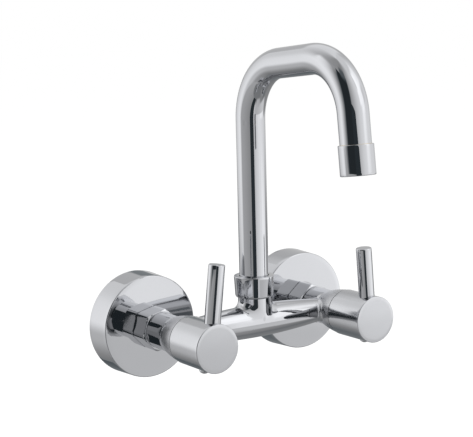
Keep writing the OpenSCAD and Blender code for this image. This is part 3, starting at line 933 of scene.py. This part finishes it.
class MixerHandles(bpy.types.Operator):
    """Knobs and their pin levers"""

    bl_idname = "mixer.handles"
    bl_label = "Knobs and levers"

    def execute(self, context):
        sizes = context.scene.mixer_sizes
        for name, side in SIDES.items():
            lean = getattr(sizes, name + "_lean")
            knob = knob_shape(side, lean)
            lever = lever_shape(side, lean, getattr(sizes, name + "_reach") / MM)
            for kind, shape, replaced, slot in (
                ("_knob_barrel", knob, "_knob", "knob_chrome"),
                ("_pin_lever", lever, "_lever", "chrome"),
            ):
                make_piece(
                    name + kind, *shape, name + "_handle", [name + replaced], slot
                )
        return {"FINISHED"}


class MixerSpout(bpy.types.Operator):
    """Swivelling tube with its collar and aerator housing"""

    bl_idname = "mixer.spout"
    bl_label = "Spout"

    def execute(self, context):
        for name, shape, body, replaced in (
            ("spout_bent_tube", spout_shape(), "spout", "spout_tube"),
            ("swivel_collar", collar_shape(), "base", "spout_collar"),
            ("aerator_cup", aerator_shape(), "spout", "aerator_housing"),
        ):
            make_piece(name, *shape, body, [replaced], "chrome")
        return {"FINISHED"}


class MixerInternals(bpy.types.Operator):
    """Finishes of the CAD pieces that stay as they are"""

    bl_idname = "mixer.internals"
    bl_label = "Internals"

    def execute(self, context):
        for part in frame["record"]["subparts"]:
            dress(NODES[part["node"]], part["material_slot"])
        return {"FINISHED"}


# ---------- the studio ----------


WHITE = (1.0, 1.0, 1.0)
# Tint of the darkest cards, which fades to white as brightness times COOL_FADE goes from 0 to 1.
COOL, COOL_FADE = (0.80, 1.0, 1.13), 3.0
# Cards and softboxes on the dome, each laid over those before it: azimuth from and to, softness;
# elevation from and to, softness, all in degrees; brightness at the first azimuth and at the
# second. Azimuth 0 is straight out of the wall and grows toward +X.
CARDS = (
    (-220, -120, 8, -100, 30, 10, 0.58, 1.40),
    (-185, -95, 12, 42, 90, 8, 1.02, 0.48),
    (-105, -38, 8, 50, 90, 8, 0.46, 0.42),
    (-134, -82, 4, -9, 48, 8, 1.38, 0.10),
    (-60, 24, 3, -12.9, 76, 1, 0.35, 1.16),
    (-50, 25, 10, 65, 100, 8, 0.40, 0.98),
    (22, 56, 4, 19, 40, 5, 1.65, 1.60),
    (30, 86, 4, 34, 60, 5, 1.75, 1.40),
    (24, 84, 5, -13.1, 18, 1.2, 1.30, 1.10),
    (32, 54, 6, 8, 24, 9, 1.66, 1.55),
    (44, 80, 7, -14, -2, 4, 1.50, 1.35),
    (78, 122, 6, -5, 60, 8, 1.12, 0.68),
    (116, 220, 5, -4, 40, 6, 0.62, 0.72),
    (116, 220, 8, 44, 100, 5, 1.12, 1.08),
    (-90, -41, 4, 0.6, 54, 2, 0.035, 0.035),
    (-72, -42, 4, 50, 66, 5, 0.15, 0.15),
    (-5, 84, 6, -60, -13.1, 1.2, 0.72, 0.98),
    (84, 220, 6, -60, -4, 4, 0.40, 0.05),
    (-220, 220, 0.1, -120, -42, 9, 0.30, 0.30),
    (-220, -112, 6, -60, -8, 8, 0.20, 0.90),
    (-220, -112, 6, -70, -30, 10, 0.10, 0.50),
    (-116, -20, 4, -52, 0.5, 1, 0.60, 0.40),
    (2, 38, 5, -54, -32, 5, 0.74, 0.68),
    (42, 88, 8, -80, -37, 5, 0.42, 0.25),
)
# Cards that stand near, in metres: name, start and direction seen from above, corners as (along,
# up), colour, and the width of the soft rim.
NEAR_CARDS = (
    (
        "black_card",
        (-0.4055, -0.5442),
        (0.914, -0.407),
        [(0, 0.36), (0.137, 0.309), (0.222, 0.252), (0.3, 0.12), (0.315, -0.7), (0, -0.7)],
        (0.036, 0.045, 0.051),
        0.002,
    ),
    (
        "grey_card",
        (0.119, 0.46),
        (0.83, -0.56),
        [(0, 0.26), (0.20, 0.26), (0.20, 0.06), (0, 0.06)],
        (0.26, 0.28, 0.29),
        0.022,
    ),
)
# The camera's place in metres, its turn in radians, and its focal length and image in pixels.
CAMERA_PLACE = (-0.625736, -0.963665, 0.250710)
YAW, PITCH, ROLL = 0.5942174, -0.1517620, -0.0244751
FOCAL_PIXELS, IMAGE_WIDTH, SENSOR = 1411.0, 473, 36


def only_glossy(made):
    """Leaves an object of the studio to be seen in polished surfaces alone."""
    made.visible_camera = False
    made.visible_diffuse = False
    made.visible_transmission = False
    made.visible_shadow = False


def bare_tree(made):
    """Empty node tree of a new material on an object, named as the object is."""
    material = bpy.data.materials.new(made.name)
    material.use_nodes = True
    material.node_tree.nodes.clear()
    made.data.materials.append(material)
    return material.node_tree


def surroundings():
    """Dome round the mixer, a sphere of (r sin a, z cos a) turned about z.

    Its brightness is 1, and each of CARDS moves it toward the card's own by the product of a
    window in azimuth and one in elevation."""
    middle, reach = (0.0, -0.08, 0.0), 1.9
    columns, rows = 64, 32
    angles = np.linspace(0, math.pi, rows + 1)
    outline = np.stack([np.sin(angles), np.cos(angles)], 1) * reach
    outline[[0, -1], 0] = 0
    points, faces = lathe(outline, columns, closed=False)
    made = mesh_object("surroundings", points + middle, faces)
    made.data.shade_smooth()
    tree = bare_tree(made)

    def vector(operation, *values):
        """Output of one Vector Math node."""
        return node(tree, "ShaderNodeVectorMath", {"operation": operation}, *values)

    away = vector("SUBTRACT", here_on(tree), middle)
    x, y, z = split(tree, vector("NORMALIZE", away))
    azimuth = x.math("ARCTAN2", x, y * -1.0) * (180 / math.pi)
    elevation = z.math("ARCSINE", z) * (180 / math.pi)
    value = 1.0
    for low, high, soft, foot, top, fade, start, stop in CARDS:
        mask = window(tree, azimuth, low, high, soft)
        mask = mask * window(tree, elevation, foot, top, fade)
        level = ramp(tree, azimuth, low, high, start, stop)
        value = value + (level - value) * mask
    plain = value.math("MINIMUM", value * COOL_FADE, 1.0)
    light = vector("MULTIPLY", blended(tree, plain, COOL, WHITE), value)
    glow = node(tree, "ShaderNodeEmission", {}, {"Color": light})
    node(tree, "ShaderNodeOutputMaterial", {}, {"Surface": glow})
    only_glossy(made)


def near_card(name, start, direction, corners, glow_colour, rim):
    """Upright card of points start + along * direction, up, from its (along, up) corners.

    It shows by the product of a window in x and one in z, which end at the corners' extremes."""
    along, up = np.array(corners, float).T
    x, y = (start[k] + along * direction[k] for k in (0, 1))
    made = mesh_object(name, np.stack([x, y, up], 1), [np.arange(len(up))[None]])
    tree = bare_tree(made)
    across, _, height = split(tree, here_on(tree))
    shown = window(tree, across, x.min() + rim, x.max() - rim, rim)
    shown = shown * window(tree, height, up.min() + rim, up.max() - rim, rim)
    clear = node(tree, "ShaderNodeBsdfTransparent", {})
    glow = node(tree, "ShaderNodeEmission", {}, {"Color": (*glow_colour, 1)})
    mixed = node(tree, "ShaderNodeMixShader", {}, shown, clear, glow)
    node(tree, "ShaderNodeOutputMaterial", {}, {"Surface": mixed})
    only_glossy(made)


class MixerStudio(bpy.types.Operator):
    """White floor and world, one soft lamp, reflection cards and the camera"""

    bl_idname = "mixer.studio"
    bl_label = "Studio"

    def execute(self, context):
        scene = context.scene
        scene.view_settings.view_transform = "Standard"
        self.camera(scene)
        self.world(scene)
        self.floor(scene)
        self.lamp(scene)
        surroundings()
        for card in NEAR_CARDS:
            near_card(*card)
        return {"FINISHED"}

    def camera(self, scene):
        """Looks along (sin yaw cos pitch, cos yaw cos pitch, sin pitch), turned by the roll."""
        ahead = np.array(
            [
                math.sin(YAW) * math.cos(PITCH),
                math.cos(YAW) * math.cos(PITCH),
                math.sin(PITCH),
            ]
        )
        right = np.cross(ahead, [0, 0, 1])
        right /= np.linalg.norm(right)
        up = np.cross(right, ahead)
        right, up = (
            right * math.cos(ROLL) + up * math.sin(ROLL),
            up * math.cos(ROLL) - right * math.sin(ROLL),
        )
        data = bpy.data.cameras.new("camera")
        data.sensor_width = SENSOR
        data.lens = FOCAL_PIXELS / IMAGE_WIDTH * SENSOR
        data.clip_start, data.clip_end = 0.05, 100
        camera = bpy.data.objects.new("camera", data)
        camera.matrix_world = Matrix(place(CAMERA_PLACE, right, up, -ahead).tolist())
        scene.collection.objects.link(camera)
        scene.camera = camera

    def world(self, scene):
        """Plain white on every side."""
        world = bpy.data.worlds.new("white surroundings")
        world.use_nodes = True
        tree = world.node_tree
        tree.nodes.clear()
        back = node(tree, "ShaderNodeBackground", {}, {"Color": (*WHITE, 1)})
        node(tree, "ShaderNodeOutputWorld", {}, {"Surface": back})
        scene.world = world

    def floor(self, scene):
        """Matt square below the mixer, its corners at plus and minus its reach."""
        reach, height = 14.0, -0.34
        square = np.array([(-1, -1), (1, -1), (1, 1), (-1, 1)]) * reach
        points = np.column_stack([square, np.full(4, height)])
        floor = mesh_object("floor", points, [np.arange(4)[None]])
        material = bpy.data.materials.new("pale floor")
        material.use_nodes = True
        shader = material.node_tree.nodes["Principled BSDF"]
        shader.inputs["Base Color"].default_value = (*scene.mixer_colours.floor, 1)
        shader.inputs["Roughness"].default_value = 0.9
        shader.inputs["Specular IOR Level"].default_value = 0.0
        floor.data.materials.append(material)
        floor.visible_glossy = False

    def lamp(self, scene):
        """Square softbox overhead, whose power is radiance times pi times its area."""
        azimuth, elevation = math.radians(30), math.radians(75)
        distance, side, radiance = 2.3, 2.0, 1.0
        aim = Vector((0, -0.09, 0.08))
        way = Vector(
            (
                math.sin(azimuth) * math.cos(elevation),
                -math.cos(azimuth) * math.cos(elevation),
                math.sin(elevation),
            )
        )
        data = bpy.data.lights.new("overhead softbox", "AREA")
        data.shape, data.size = "SQUARE", side
        data.energy = radiance * math.pi * side * side
        lamp = bpy.data.objects.new("overhead softbox", data)
        turn = way.to_track_quat("Z", "Y").to_matrix().to_4x4()
        lamp.matrix_world = Matrix.Translation(aim + way * distance) @ turn
        lamp.visible_camera = False
        lamp.visible_glossy = False
        scene.collection.objects.link(lamp)


class MixerPanel(bpy.types.Panel):
    """Sizes, colours and the pieces of the mixer"""

    bl_idname = "VIEW3D_PT_wall_mixer"
    bl_label = "Wall mixer"
    bl_space_type = "VIEW_3D"
    bl_region_type = "UI"
    bl_category = "Wall mixer"

    def draw(self, context):
        for step in STEPS:
            self.layout.operator(step.bl_idname)
        for group in (context.scene.mixer_sizes, context.scene.mixer_colours):
            box = self.layout.box()
            for name in group.__annotations__:
                box.prop(group, name)


STEPS = (
    MixerInternals,
    MixerBridge,
    MixerInlets,
    MixerHandles,
    MixerSpout,
    MixerStudio,
)
CLASSES = (MixerSizes, MixerColours, *STEPS, MixerPanel)


def register():
    for made in CLASSES:
        bpy.utils.register_class(made)
    bpy.types.Scene.mixer_sizes = bpy.props.PointerProperty(type=MixerSizes)
    bpy.types.Scene.mixer_colours = bpy.props.PointerProperty(type=MixerColours)


def unregister():
    del bpy.types.Scene.mixer_colours
    del bpy.types.Scene.mixer_sizes
    for made in reversed(CLASSES):
        bpy.utils.unregister_class(made)


def main():
    register()
    for name in ("internals", "bridge", "inlets", "handles", "spout", "studio"):
        getattr(bpy.ops.mixer, name)()


if __name__ == "__main__":
    main()
